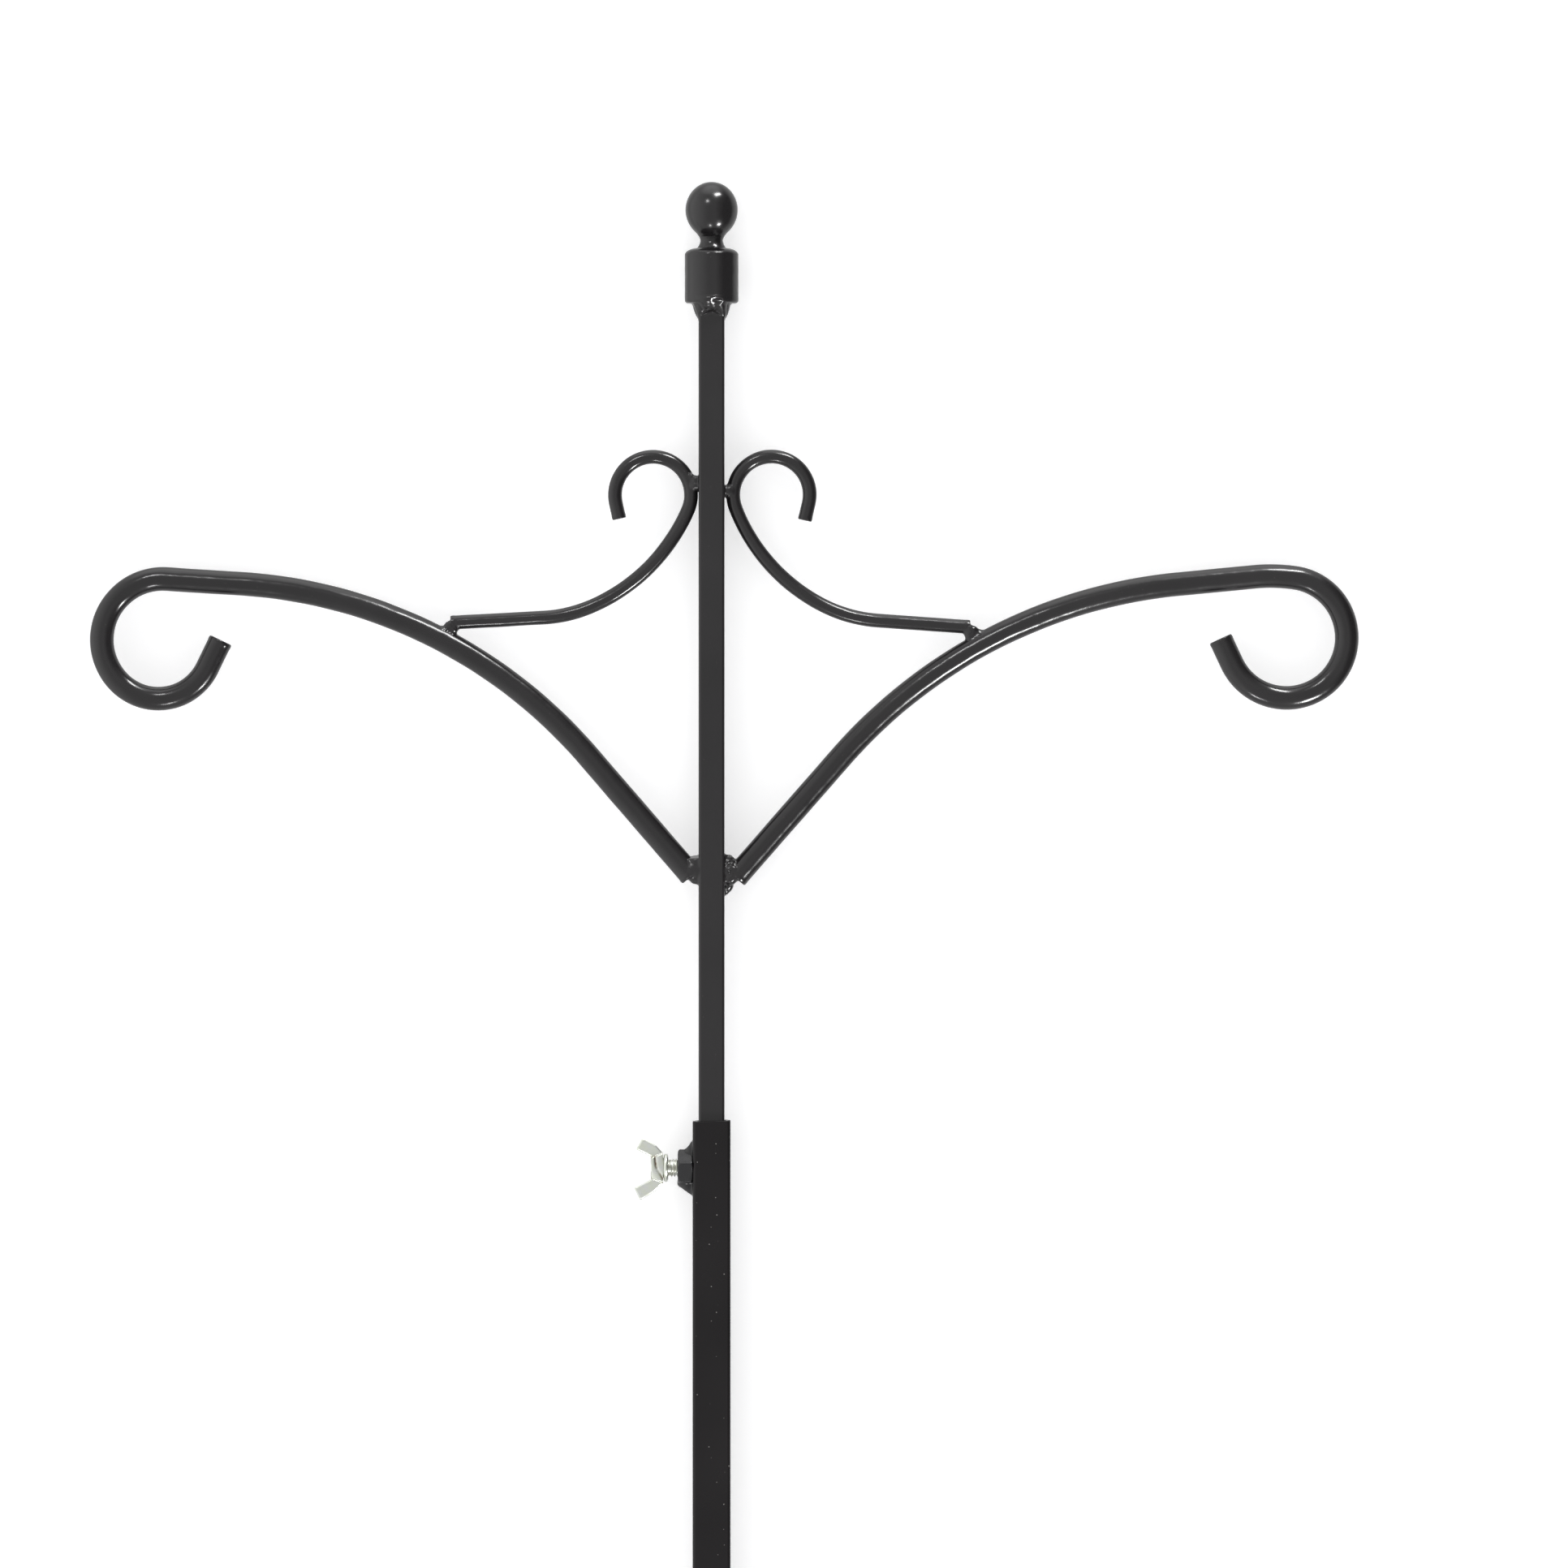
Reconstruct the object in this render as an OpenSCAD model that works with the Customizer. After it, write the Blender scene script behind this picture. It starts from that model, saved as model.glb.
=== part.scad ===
// Telescoping garden feeder pole with two hooked arms, two scrolls and a ball finial.
// Millimetres, +Z up. The origin is on the pole's axis where it enters the ground.
// The arms and scrolls lie in the XZ plane.

/* [Base tube] */
// Outside width of the square base tube
tube_w = 19; // [18:0.5:26]
// Wall of the base tube
tube_wall = 2.5; // [2:0.1:2.6]
// Outside corner radius of the base tube
tube_corner_r = 2; // [1:0.1:2.5]
// Height of the base tube's mouth above the ground
tube_above_ground = 1020; // [800:10:1400]
// Length of base tube below the ground
tube_in_ground = 150; // [100:10:250]

/* [Mast] */
// Outside width of the square mast tube
mast_w = 13; // [12:0.1:13.4]
// Wall of the mast tube
mast_wall = 1.5; // [1:0.1:2]
// Outside corner radius of the mast tube
mast_corner_r = 1.5; // [1:0.1:2]
// Length of the mast tube
mast_length = 1150; // [900:10:1400]
// Height of the mast's top above the base tube's mouth at rest
mast_rise = 410; // [320:5:700]

/* [Finial] */
// Diameter of the ball
ball_d = 26.3; // [20:0.1:32]
// Height of the ball's centre above the collar
ball_lift = 20.2; // [19:0.1:22]
// Diameter of the collar
collar_d = 27; // [22:0.1:32]
// Height of the collar
collar_h = 27.7; // [20:0.1:36]
// Radius on the collar's top edge
collar_top_r = 2.4; // [0.5:0.1:4]
// Radius on the collar's bottom edge
collar_bottom_r = 1.6; // [0.5:0.1:4]
// Drop of the weld under the collar
finial_weld_h = 7.4; // [4:0.1:10]

/* [Arms] */
// Diameter of the arm rod
arm_rod_d = 12; // [9:0.1:13]
// Height of the left arm's foot below the mast's top
arm_left_drop = 287.5; // [260:0.5:300]
// Height of the right arm's foot below the mast's top
arm_right_drop = 288.4; // [260:0.5:300]
// Upward angle of the left arm as it leaves the mast
arm_left_rise = 49.2; // [45:0.1:52]
// Upward angle of the right arm as it leaves the mast
arm_right_rise = 48.8; // [45:0.1:52]
// Radius of the left arm's long sweep
sweep_left_r = 250; // [240:1:262]
// Radius of the right arm's long sweep
sweep_right_r = 257.5; // [240:0.5:262]

/* [Scrolls] */
// Diameter of the scroll rod
scroll_rod_d = 7; // [5:0.1:7.4]
// Height of the left scroll's foot below the mast's top
scroll_left_drop = 160.3; // [155:0.1:162]
// Height of the right scroll's foot below the mast's top
scroll_right_drop = 162.5; // [156:0.1:164]

/* [Clamp screw] */
// Distance of the screw's axis below the base tube's mouth
screw_drop = 24; // [16:0.5:60]
// Width across the flats of the clamp nut
nut_af = 17; // [15:0.1:18]
// Thickness of the clamp nut
nut_h = 7.5; // [6:0.1:9]
// Diameter over the screw's thread
thread_d = 9.6; // [8:0.1:10]
// Pitch of the screw's thread
thread_pitch = 1.5; // [1.25:0.05:1.75]
// Bare thread between the nut and the wing head when clamped
thread_bare = 4.8; // [3:0.1:8]
// Diameter of the wing head's flange
flange_d = 14.4; // [12:0.1:18]
// Thickness of the wing head's flange
flange_h = 2.2; // [1.5:0.1:3]
// Thickness of the wings
wing_t = 2.4; // [1.6:0.1:3]

/* [Ground end] */
// Length of the pointed spike below the base tube
spike_h = 80; // [50:5:120]
// Length of each step bar
step_bar_l = 62; // [40:1:90]
// Width of the step bars
step_bar_w = 14; // [10:0.5:15]
// Thickness of the step bars
step_bar_t = 6; // [4:0.5:8]

/* [Hidden] */
$fn = 64;

coat = [0.05, 0.05, 0.055];
zinc = [0.75, 0.76, 0.72];

run_gap = 0.05;          // running clearance on a radius, and face to face at the clamp
seat_gap = 0.02;         // between pieces of one body that are welded or pressed together
band_t = 0.05;           // thickness of the coating band where two moves of a rod meet
rod_chamfer = 0.6;       // broken edge on a rod's sawn end
nut_turn = -16;          // turn of the clamp nut's first corner from straight up
pin_r = 3;               // pin that the wing head turns on, at the end of the shank
pin_l = 5;
pin_end_gap = 0.3;       // free space past the pin's end
mast_top = tube_above_ground + mast_rise;
screw_z = tube_above_ground - screw_drop;
mast_face = mast_w / 2;
tube_face = tube_w / 2;

// Each path starts at its foot, [x, height below the mast's top], and is a list of moves:
// [length] is a straight run, [radius, turn] is a bend.
arm_left_foot = [-10, -arm_left_drop];
arm_left_path = [[80], [sweep_left_r, 45.6], [38], [30.5, 138.8], [27.4, 109], [15.5]];
arm_right_foot = [11.9, -arm_right_drop];
arm_right_path = [[80.7], [sweep_right_r, -43.3], [39], [81.3, -14.4], [30.3, -236.2], [13.5]];
scroll_left_foot = [-131, -scroll_left_drop];
scroll_left_path = [[46.2], [73, 21.8], [93, 41.7], [19.1, 215.9], [8.1]];
scroll_right_foot = [129.7, -scroll_right_drop];
scroll_right_path = [[46], [73, -24.3], [92, -40.5], [19.2, -214.2], [8.8]];
scroll_left_heading = 3.1;
scroll_right_heading = 176;

// ---- shapes that repeat ----

// A square with rounded corners, from two bars and four circles
module rounded_square(width, corner_r) {
    square([width, width - 2 * corner_r], center = true);
    square([width - 2 * corner_r, width], center = true);
    inset = width / 2 - corner_r;
    for (sx = [-1, 1], sy = [-1, 1]) translate([sx * inset, sy * inset]) circle(r = corner_r);
}

module square_tube(width, wall, corner_r, h) {
    linear_extrude(height = h) difference() {
        rounded_square(width, corner_r);
        rounded_square(width - 2 * wall, max(corner_r - wall, 0.4));
    }
}

// The space that the mast fills, a little oversize
module mast_space() {
    side = mast_w + 2 * seat_gap;
    translate([-side / 2, -side / 2, mast_top - mast_length]) cube([side, side, mast_length]);
}

// One bend of a rod that arrives at the origin heading along +X; a positive turn goes left
module bend(radius, turn, rod_d) {
    side = sign(turn);
    start = side > 0 ? -90 : 90 + turn;
    translate([0, side * radius, 0]) rotate([0, 0, start])
        rotate_extrude(angle = abs(turn), $fn = max(96, 2 * radius))
            translate([radius, 0]) circle(d = rod_d);
}

// A hair-thin band of coating over the place where one move of a rod meets the next
module coat_band(rod_d) {
    rotate([0, 90, 0]) cylinder(h = 1, d = rod_d + 2 * band_t, center = true);
}

// The start of a rod's path, up to and including a given move
function start_of(path, moves) = [for (i = [0 : moves - 1]) path[i]];

// A rod bent in the XY plane, from its foot heading along +X, with a broken edge at its tip
module bent_rod(path, rod_d, i = 0) {
    if (i < len(path)) {
        move = path[i];
        if (len(move) == 1) {
            last = i == len(path) - 1;
            run = last ? move[0] - rod_chamfer : move[0];
            rotate([0, 90, 0]) cylinder(h = run, d = rod_d);
            if (last) translate([run, 0, 0]) rotate([0, 90, 0])
                cylinder(h = rod_chamfer, d1 = rod_d, d2 = rod_d - 2 * rod_chamfer);
            translate([move[0], 0, 0]) {
                if (!last) coat_band(rod_d);
                bent_rod(path, rod_d, i + 1);
            }
        } else {
            bend(move[0], move[1], rod_d);
            end = [move[0] * sin(abs(move[1])), sign(move[1]) * move[0] * (1 - cos(move[1])), 0];
            translate(end) rotate([0, 0, move[1]]) {
                coat_band(rod_d);
                bent_rod(path, rod_d, i + 1);
            }
        }
    }
}

// A bent rod stood up in the XZ plane, from a foot given below the mast's top
module standing_rod(foot, heading, path, rod_d) {
    translate([foot.x, 0, mast_top + foot.y]) rotate([90, 0, 0]) rotate([0, 0, heading])
        bent_rod(path, rod_d);
}

// Drops of weld metal, each [x, z, radius] with z below the mast's top
module weld_drops(drops) {
    for (drop = drops) translate([drop[0], 0, mast_top + drop[1]]) sphere(r = drop[2], $fn = 96);
}

// A hexagonal blank along +Z with one corner turned from +X
module hex_prism(across_flats, h, turn) {
    rotate([0, 0, turn]) cylinder(h = h, d = across_flats / cos(30), $fn = 6);
}

// Puts a shape drawn along +Z from the tube's left face onto the screw's axis, heading out
module on_screw_axis(out = 0) {
    translate([-tube_face - out, 0, screw_z]) rotate([0, -90, 0]) children();
}

// ---- base ----

module base_tube() {
    color(coat) difference() {
        translate([0, 0, -tube_in_ground])
            square_tube(tube_w, tube_wall, tube_corner_r, tube_above_ground + tube_in_ground);
        on_screw_axis(-tube_wall - 1) cylinder(h = tube_wall + 2, d = thread_d + 1);
    }
}

// The spike's pyramid, and the plug that holds it in the tube
module ground_spike() {
    plug_w = tube_w - 2 * tube_wall - 2 * seat_gap;
    plug_h = 25;
    tip_w = 3;
    color(coat) translate([0, 0, -tube_in_ground]) {
        translate([0, 0, -spike_h]) hull() {
            translate([-tip_w / 2, -tip_w / 2, 0]) cube([tip_w, tip_w, 1]);
            translate([-tube_w / 2, -tube_w / 2, spike_h - 2]) cube([tube_w, tube_w, 2 - seat_gap]);
        }
        translate([0, 0, -1]) linear_extrude(height = plug_h + 1) rounded_square(plug_w, 0.5);
    }
}

// A flat step bar with a round outer end, lying on the ground; side is -1 or 1
module step_bar(side) {
    start = tube_face + seat_gap;
    color(coat) linear_extrude(height = step_bar_t) {
        translate([side > 0 ? start : -start - step_bar_l + step_bar_w / 2, -step_bar_w / 2])
            square([step_bar_l - step_bar_w / 2, step_bar_w]);
        translate([side * (start + step_bar_l - step_bar_w / 2), 0]) circle(d = step_bar_w);
    }
}

// The fillet weld on top of a step bar, along the tube's face
module step_weld(side) {
    leg = 4.5;
    run = step_bar_w - 1.5;
    color(coat) translate([side * (tube_face + seat_gap), 0, step_bar_t + seat_gap])
        rotate([90, 0, 0]) linear_extrude(height = run, center = true)
            polygon([[0, 0], [side * leg, 0], [side * leg * 0.42, leg * 0.42], [0, leg]]);
}

// The clamp nut, with a plain bore that the screw's thread just clears
module clamp_nut() {
    corner_r = nut_af / 2 / cos(30);
    chamfer = 1.1;
    color(coat) difference() {
        intersection() {
            on_screw_axis(seat_gap) hex_prism(nut_af, nut_h, nut_turn);
            on_screw_axis(seat_gap) {
                cylinder(h = nut_h - chamfer, r = corner_r + 0.01);
                translate([0, 0, nut_h - chamfer])
                    cylinder(h = chamfer, r1 = corner_r + 0.01, r2 = corner_r - 1.7 * chamfer);
            }
        }
        on_screw_axis(-1) cylinder(h = nut_h + 2, r = thread_d / 2 + run_gap);
    }
}

// A weld between the nut and the tube's face, over part of the nut's rim; centre is its angle
// and height is how far up the nut's side it climbs
module nut_weld(centre, height) {
    inner = nut_af / 2 - 0.4;
    outer = 13.9;
    toe = [outer - 1.6, 1.3];
    crown = [10.2, height];
    spread = 62;
    color(coat) difference() {
        on_screw_axis(seat_gap) rotate([0, 0, centre - spread / 2])
            rotate_extrude(angle = spread)
                polygon([[inner, 0], [outer, 0], toe, crown, [inner, crown.y]]);
        on_screw_axis(-1) hex_prism(nut_af + 2 * seat_gap, nut_h + 2, nut_turn);
    }
}

module nut_weld_upper() {
    nut_weld(0, 3.6);
}

module nut_weld_lower() {
    nut_weld(180, 6.6);
}

// ---- clamp screw ----

// The thread is drawn as rings, so the shank is the same at every turn
module screw_shank() {
    tip_x = -mast_face - run_gap;
    shoulder_x = -tube_face - nut_h - thread_bare;
    shank_l = tip_x - shoulder_x;
    crest_r = thread_d / 2;
    root_r = crest_r - 0.6 * thread_pitch;
    ridges = floor((shank_l - 2) / thread_pitch);
    first = shank_l - 0.6 - ridges * thread_pitch;
    profile = concat([[0, 0], [root_r - 0.6, 0], [root_r, 0.6]],
        [for (n = [0 : ridges - 1], part = [0 : 3])
            let (z = shank_l - first - (ridges - n) * thread_pitch)
            [part == 1 || part == 2 ? crest_r : root_r,
                z + thread_pitch * [0, 0.38, 0.5, 0.88][part]]],
        [[root_r, shank_l], [pin_r, shank_l], [pin_r, shank_l + pin_l], [0, shank_l + pin_l]]);
    color(zinc) translate([tip_x, 0, screw_z]) rotate([0, -90, 0])
        rotate_extrude() polygon(profile);
}

// The round foot of the stamped wing head
module wing_flange() {
    color(zinc) difference() {
        on_screw_axis(nut_h + thread_bare + run_gap) cylinder(h = flange_h - run_gap, d = flange_d);
        on_screw_axis(nut_h) cylinder(h = thread_bare + flange_h + 1, r = pin_r + run_gap);
    }
}

// The wings' outline, x outward from the flange and y up from the axis
function wing_outline() =
    [[0, 2], [0, 7], [3.9, 11.5], [10.2, 15.1], [11.4, 15], [14.2, 9.9], [6.4, 5.8], [6.4, 2]];

module wing_head() {
    hub_h = 6.4;
    hub_w = 12.6;
    reach = nut_h + thread_bare + flange_h + seat_gap;
    color(zinc) difference() {
        on_screw_axis(reach) {
            translate([-hub_w / 2, -hub_w / 3, 0]) cube([hub_w, hub_w / 1.5, hub_h]);
            for (side = [-1, 1]) rotate([90, 0, 0]) linear_extrude(height = wing_t, center = true)
                polygon([for (p = wing_outline()) [side * p.y, p.x]]);
        }
        on_screw_axis(nut_h) cylinder(h = thread_bare + pin_l + pin_end_gap, r = pin_r + run_gap);
    }
}

// ---- mast ----

module mast_tube() {
    color(coat) translate([0, 0, mast_top - mast_length])
        square_tube(mast_w, mast_wall, mast_corner_r, mast_length);
}

module finial_collar() {
    r = collar_d / 2;
    color(coat) translate([0, 0, mast_top + seat_gap]) rotate_extrude() {
        square([r - collar_top_r, collar_h]);
        translate([0, collar_bottom_r]) square([r, collar_h - collar_top_r - collar_bottom_r]);
        square([r - collar_bottom_r, collar_h / 2]);
        translate([r - collar_top_r, collar_h - collar_top_r]) circle(r = collar_top_r);
        translate([r - collar_bottom_r, collar_bottom_r]) circle(r = collar_bottom_r);
    }
}

// The ball on a waisted neck
module finial_ball() {
    neck_r = 8.4;
    neck_h = 10;
    waist_z = 3.3;
    waist_r = 5.2;
    waist_x = 10.9;
    color(coat) translate([0, 0, mast_top + collar_h + 2 * seat_gap]) {
        translate([0, 0, ball_lift]) sphere(d = ball_d);
        rotate_extrude() difference() {
            square([neck_r, neck_h]);
            translate([waist_x, waist_z]) circle(r = waist_r);
        }
    }
}

// Weld metal gathered between the collar's underside and the mast's four faces
module finial_weld() {
    color(coat) difference() {
        translate([0, 0, mast_top - finial_weld_h])
            cylinder(h = finial_weld_h - seat_gap, r1 = mast_face + 0.7, r2 = 10.8);
        mast_space();
    }
}

// Each rod is drawn up to a given move, because a weld is cut only by the moves it touches
module arm_left_rod(moves = len(arm_left_path)) {
    standing_rod(arm_left_foot, 180 - arm_left_rise, start_of(arm_left_path, moves), arm_rod_d);
}

module arm_right_rod(moves = len(arm_right_path)) {
    standing_rod(arm_right_foot, arm_right_rise, start_of(arm_right_path, moves), arm_rod_d);
}

module scroll_left_rod(moves = len(scroll_left_path)) {
    standing_rod(scroll_left_foot, scroll_left_heading, start_of(scroll_left_path, moves),
        scroll_rod_d);
}

module scroll_right_rod(moves = len(scroll_right_path)) {
    standing_rod(scroll_right_foot, scroll_right_heading, start_of(scroll_right_path, moves),
        scroll_rod_d);
}

// The left arm's foot is cut flush where it meets the mast
module arm_left() {
    color(coat) difference() {
        arm_left_rod();
        mast_space();
    }
}

module arm_right() {
    color(coat) arm_right_rod();
}

module scroll_left() {
    color(coat) scroll_left_rod();
}

module scroll_right() {
    color(coat) scroll_right_rod();
}

// The weld that closes the corner between an arm's sawn foot and the mast
module arm_weld_left() {
    color(coat) difference() {
        weld_drops([[-9.2, -279.6, 3.6], [-8.6, -284.4, 4.4], [-9.6, -289.2, 3.4]]);
        mast_space();
        arm_left_rod(1);
    }
}

module arm_weld_right() {
    color(coat) difference() {
        weld_drops([[8.6, -280.2, 3.6], [8.4, -285.6, 4.6], [8.8, -292.2, 4.2]]);
        mast_space();
        arm_right_rod(1);
    }
}

// The weld that bridges a scroll's curl to the mast
module scroll_mast_weld_left() {
    color(coat) difference() {
        weld_drops([[-8.4, -89.4, 2.6], [-8.6, -92.6, 2.9]]);
        mast_space();
        scroll_left_rod();
    }
}

module scroll_mast_weld_right() {
    color(coat) difference() {
        weld_drops([[8.7, -92.6, 2.6], [8.7, -95.2, 2.7]]);
        mast_space();
        scroll_right_rod();
    }
}

// The weld that joins a scroll's sawn foot to the back of the arm
module scroll_arm_weld_left() {
    color(coat) difference() {
        weld_drops([[-132.4, -162, 3.1]]);
        scroll_left_rod(1);
        arm_left_rod(2);
    }
}

module scroll_arm_weld_right() {
    color(coat) difference() {
        weld_drops([[131.6, -163.8, 3.3]]);
        scroll_right_rod(1);
        arm_right_rod(2);
    }
}

base_tube();
ground_spike();
step_bar(-1);  // step_bar_left
step_bar(1);  // step_bar_right
step_weld(-1);  // step_weld_left
step_weld(1);  // step_weld_right
clamp_nut();
nut_weld_upper();
nut_weld_lower();
screw_shank();
wing_flange();
wing_head();
mast_tube();
finial_collar();
finial_ball();
finial_weld();
arm_left();
arm_right();
arm_weld_left();
arm_weld_right();
scroll_left();
scroll_right();
scroll_mast_weld_left();
scroll_mast_weld_right();
scroll_arm_weld_left();
scroll_arm_weld_right();
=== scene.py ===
import math
import bpy
import numpy as np
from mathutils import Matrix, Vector


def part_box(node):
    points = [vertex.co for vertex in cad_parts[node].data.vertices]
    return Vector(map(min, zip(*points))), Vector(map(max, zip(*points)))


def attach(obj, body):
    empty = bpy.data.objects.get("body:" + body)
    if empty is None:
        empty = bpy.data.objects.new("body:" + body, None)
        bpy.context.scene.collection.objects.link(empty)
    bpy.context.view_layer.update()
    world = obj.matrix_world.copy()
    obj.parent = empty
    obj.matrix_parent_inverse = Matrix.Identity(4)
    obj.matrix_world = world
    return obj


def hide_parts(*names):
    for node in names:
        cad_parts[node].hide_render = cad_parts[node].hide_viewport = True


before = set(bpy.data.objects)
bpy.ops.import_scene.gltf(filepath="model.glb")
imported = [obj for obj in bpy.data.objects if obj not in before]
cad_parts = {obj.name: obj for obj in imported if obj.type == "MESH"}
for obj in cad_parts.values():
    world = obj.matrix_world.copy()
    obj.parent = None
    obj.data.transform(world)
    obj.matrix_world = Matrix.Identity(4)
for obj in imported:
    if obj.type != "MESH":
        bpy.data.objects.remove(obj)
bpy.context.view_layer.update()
print("frame loaded,", len(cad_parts), "nodes")

# Shapes are worked out in millimetres, in the frame's own axes: X along the arms, -Y to the front, Z up.
toMetres = 0.001
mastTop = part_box("mast_tube")[1].z / toMetres
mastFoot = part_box("mast_tube")[0].z / toMetres
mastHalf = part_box("mast_tube")[1].x / toMetres
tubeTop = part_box("base_tube")[1].z / toMetres
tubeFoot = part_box("base_tube")[0].z / toMetres
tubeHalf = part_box("base_tube")[1].x / toMetres
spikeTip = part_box("ground_spike")[0].z / toMetres
nutLow, nutHigh = ([v / toMetres for v in corner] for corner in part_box("clamp_nut"))
screwZ = (nutLow[2] + nutHigh[2]) / 2
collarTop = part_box("finial_collar")[1].z / toMetres

scene = bpy.context.scene
poleParts = bpy.data.collections.new("poleParts")
scene.collection.children.link(poleParts)
seeded = np.random.default_rng(11)


def addPiece(name, points, faces, body, material, stands):
    mesh = bpy.data.meshes.new(name)
    mesh.from_pydata((np.asarray(points) * toMetres).tolist(), [], [list(map(int, f)) for f in faces])
    mesh.validate()
    mesh.polygons.foreach_set("use_smooth", [True] * len(mesh.polygons))
    piece = bpy.data.objects.new(name, mesh)
    poleParts.objects.link(piece)
    mesh.materials.append(material)
    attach(piece, body)
    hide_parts(*stands)
    print("made", name, len(mesh.polygons), "faces")
    return piece


def ringFaces(rings, sides):   # quads between rings of points, each ring closed on itself
    faces = []
    for r in range(rings - 1):
        a, b = r * sides, (r + 1) * sides
        for s in range(sides):
            t = (s + 1) % sides
            faces.append((a + s, a + t, b + t, b + s))
    return faces


def latheFaces(rings, sides):   # as ringFaces, with the first and last ring closed by a fan to one point each
    faces = ringFaces(rings, sides)
    first, last = rings * sides, rings * sides + 1
    for s in range(sides):
        t = (s + 1) % sides
        faces.append((first, t, s))
        faces.append((last, (rings - 1) * sides + s, (rings - 1) * sides + t))
    return faces


def smoothMin(a, b, soft):
    h = np.clip(0.5 + 0.5 * (b - a) / soft, 0, 1)
    return b * (1 - h) + a * h - soft * h * (1 - h)


def smoothMax(a, b, soft):
    return -smoothMin(-a, -b, soft)


def squareBar(a, b, half, cornerR):   # distance to a square bar with rounded corners, given across it
    da, db = np.abs(a) - half + cornerR, np.abs(b) - half + cornerR
    outside = np.hypot(np.maximum(da, 0), np.maximum(db, 0))
    return outside + np.minimum(np.maximum(da, db), 0) - cornerR


def meshOfField(field, low, high, cell):   # points and quads of the surface where the field is zero
    axes = [np.arange(lo - cell, hi + 2 * cell, cell) for lo, hi in zip(low, high)]
    value = field(*np.meshgrid(*axes, indexing="ij"))
    size = value.shape
    cells = tuple(n - 1 for n in size)
    total, count = np.zeros(cells + (3,)), np.zeros(cells)
    index = np.indices(size)
    crossings = []
    for axis in range(3):
        start = [slice(None)] * 3
        end = [slice(None)] * 3
        start[axis], end[axis] = slice(0, -1), slice(1, None)
        a, b = value[tuple(start)], value[tuple(end)]
        cross = (a < 0) != (b < 0)
        crossings.append((cross, a < 0))
        share = np.where(cross, a / np.where(cross, a - b, 1), 0)
        place = np.stack([index[i][tuple(start)] + (share if i == axis else 0) for i in range(3)], -1)
        u, v = [i for i in range(3) if i != axis]
        for du in (0, 1):
            for dv in (0, 1):
                part = [slice(None)] * 3
                part[u] = slice(du, cells[u] + du)
                part[v] = slice(dv, cells[v] + dv)
                part = tuple(part)
                total += place[part] * cross[part][..., None]
                count += cross[part]
    used = count > 0
    number = np.full(cells, -1)
    number[used] = np.arange(used.sum())
    origin = np.array([axis[0] for axis in axes])
    points = total[used] / count[used][:, None] * cell + origin
    faces = []
    for axis, (cross, startInside) in enumerate(crossings):
        u, v = (axis + 1) % 3, (axis + 2) % 3
        where = np.argwhere(cross)
        where = where[(where[:, u] > 0) & (where[:, u] < size[u] - 1)
                      & (where[:, v] > 0) & (where[:, v] < size[v] - 1)]
        corners = []
        for du, dv in ((1, 1), (0, 1), (0, 0), (1, 0)):
            at = where.copy()
            at[:, u] -= du
            at[:, v] -= dv
            corners.append(number[at[:, 0], at[:, 1], at[:, 2]])
        quads = np.stack(corners, -1)
        flip = ~startInside[where[:, 0], where[:, 1], where[:, 2]]
        quads[flip] = quads[flip][:, ::-1]
        faces.append(quads)
    step = 0.05 * cell
    for _ in range(3):   # the points are then brought onto the surface itself
        here = field(*points.T)
        slope = np.stack([(field(*(points + way).T) - field(*(points - way).T)) / (2 * step)
                          for way in step * np.eye(3)], -1)
        steep = np.maximum((slope ** 2).sum(1), 0.1)
        move = -slope * (here / steep)[:, None]
        far = np.linalg.norm(move, axis=1)
        points = points + move * np.minimum(1, 0.4 * cell / np.maximum(far, 1e-9))[:, None]
    return points, np.concatenate(faces)


def addSockets(group, inputs, outputs):
    for name, kind, value in inputs:
        socket = group.interface.new_socket(name=name, in_out="INPUT", socket_type=kind)
        socket.default_value = value
    for name, kind in outputs:
        group.interface.new_socket(name=name, in_out="OUTPUT", socket_type=kind)


def addNode(tree, kind, place=(0, 0), **settings):
    node = tree.nodes.new(kind)
    node.location = place
    for key, value in settings.items():
        setattr(node, key, value)
    return node


def addNoise(tree, coordinates, scale, detail, place):
    noise = addNode(tree, "ShaderNodeTexNoise", place)
    noise.inputs["Scale"].default_value = scale
    noise.inputs["Detail"].default_value = detail
    tree.links.new(coordinates, noise.inputs["Vector"])
    return noise.outputs["Fac"]


def addRange(tree, value, low, high, toLow, toHigh, place):
    spread = addNode(tree, "ShaderNodeMapRange", place)
    tree.links.new(value, spread.inputs["Value"])
    for name, number in zip(("From Min", "From Max", "To Min", "To Max"), (low, high, toLow, toHigh)):
        feed(tree, spread.inputs[name], number)
    return spread.outputs["Result"]


def feed(tree, socket, value):   # a number goes on the socket itself, anything else is linked to it
    if isinstance(value, (int, float)):
        socket.default_value = value
    else:
        tree.links.new(value, socket)


def addMath(tree, operation, values, place, **settings):
    node = addNode(tree, "ShaderNodeMath", place, operation=operation, **settings)
    for socket, value in zip(node.inputs, values):
        feed(tree, socket, value)
    return node.outputs[0]


def addTint(tree, factor, first, second, place):
    mix = addNode(tree, "ShaderNodeMix", place, data_type="RGBA")
    for name, value in (("Factor", factor), ("A", first), ("B", second)):
        tree.links.new(value, mix.inputs[name])
    return mix.outputs["Result"]


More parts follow.
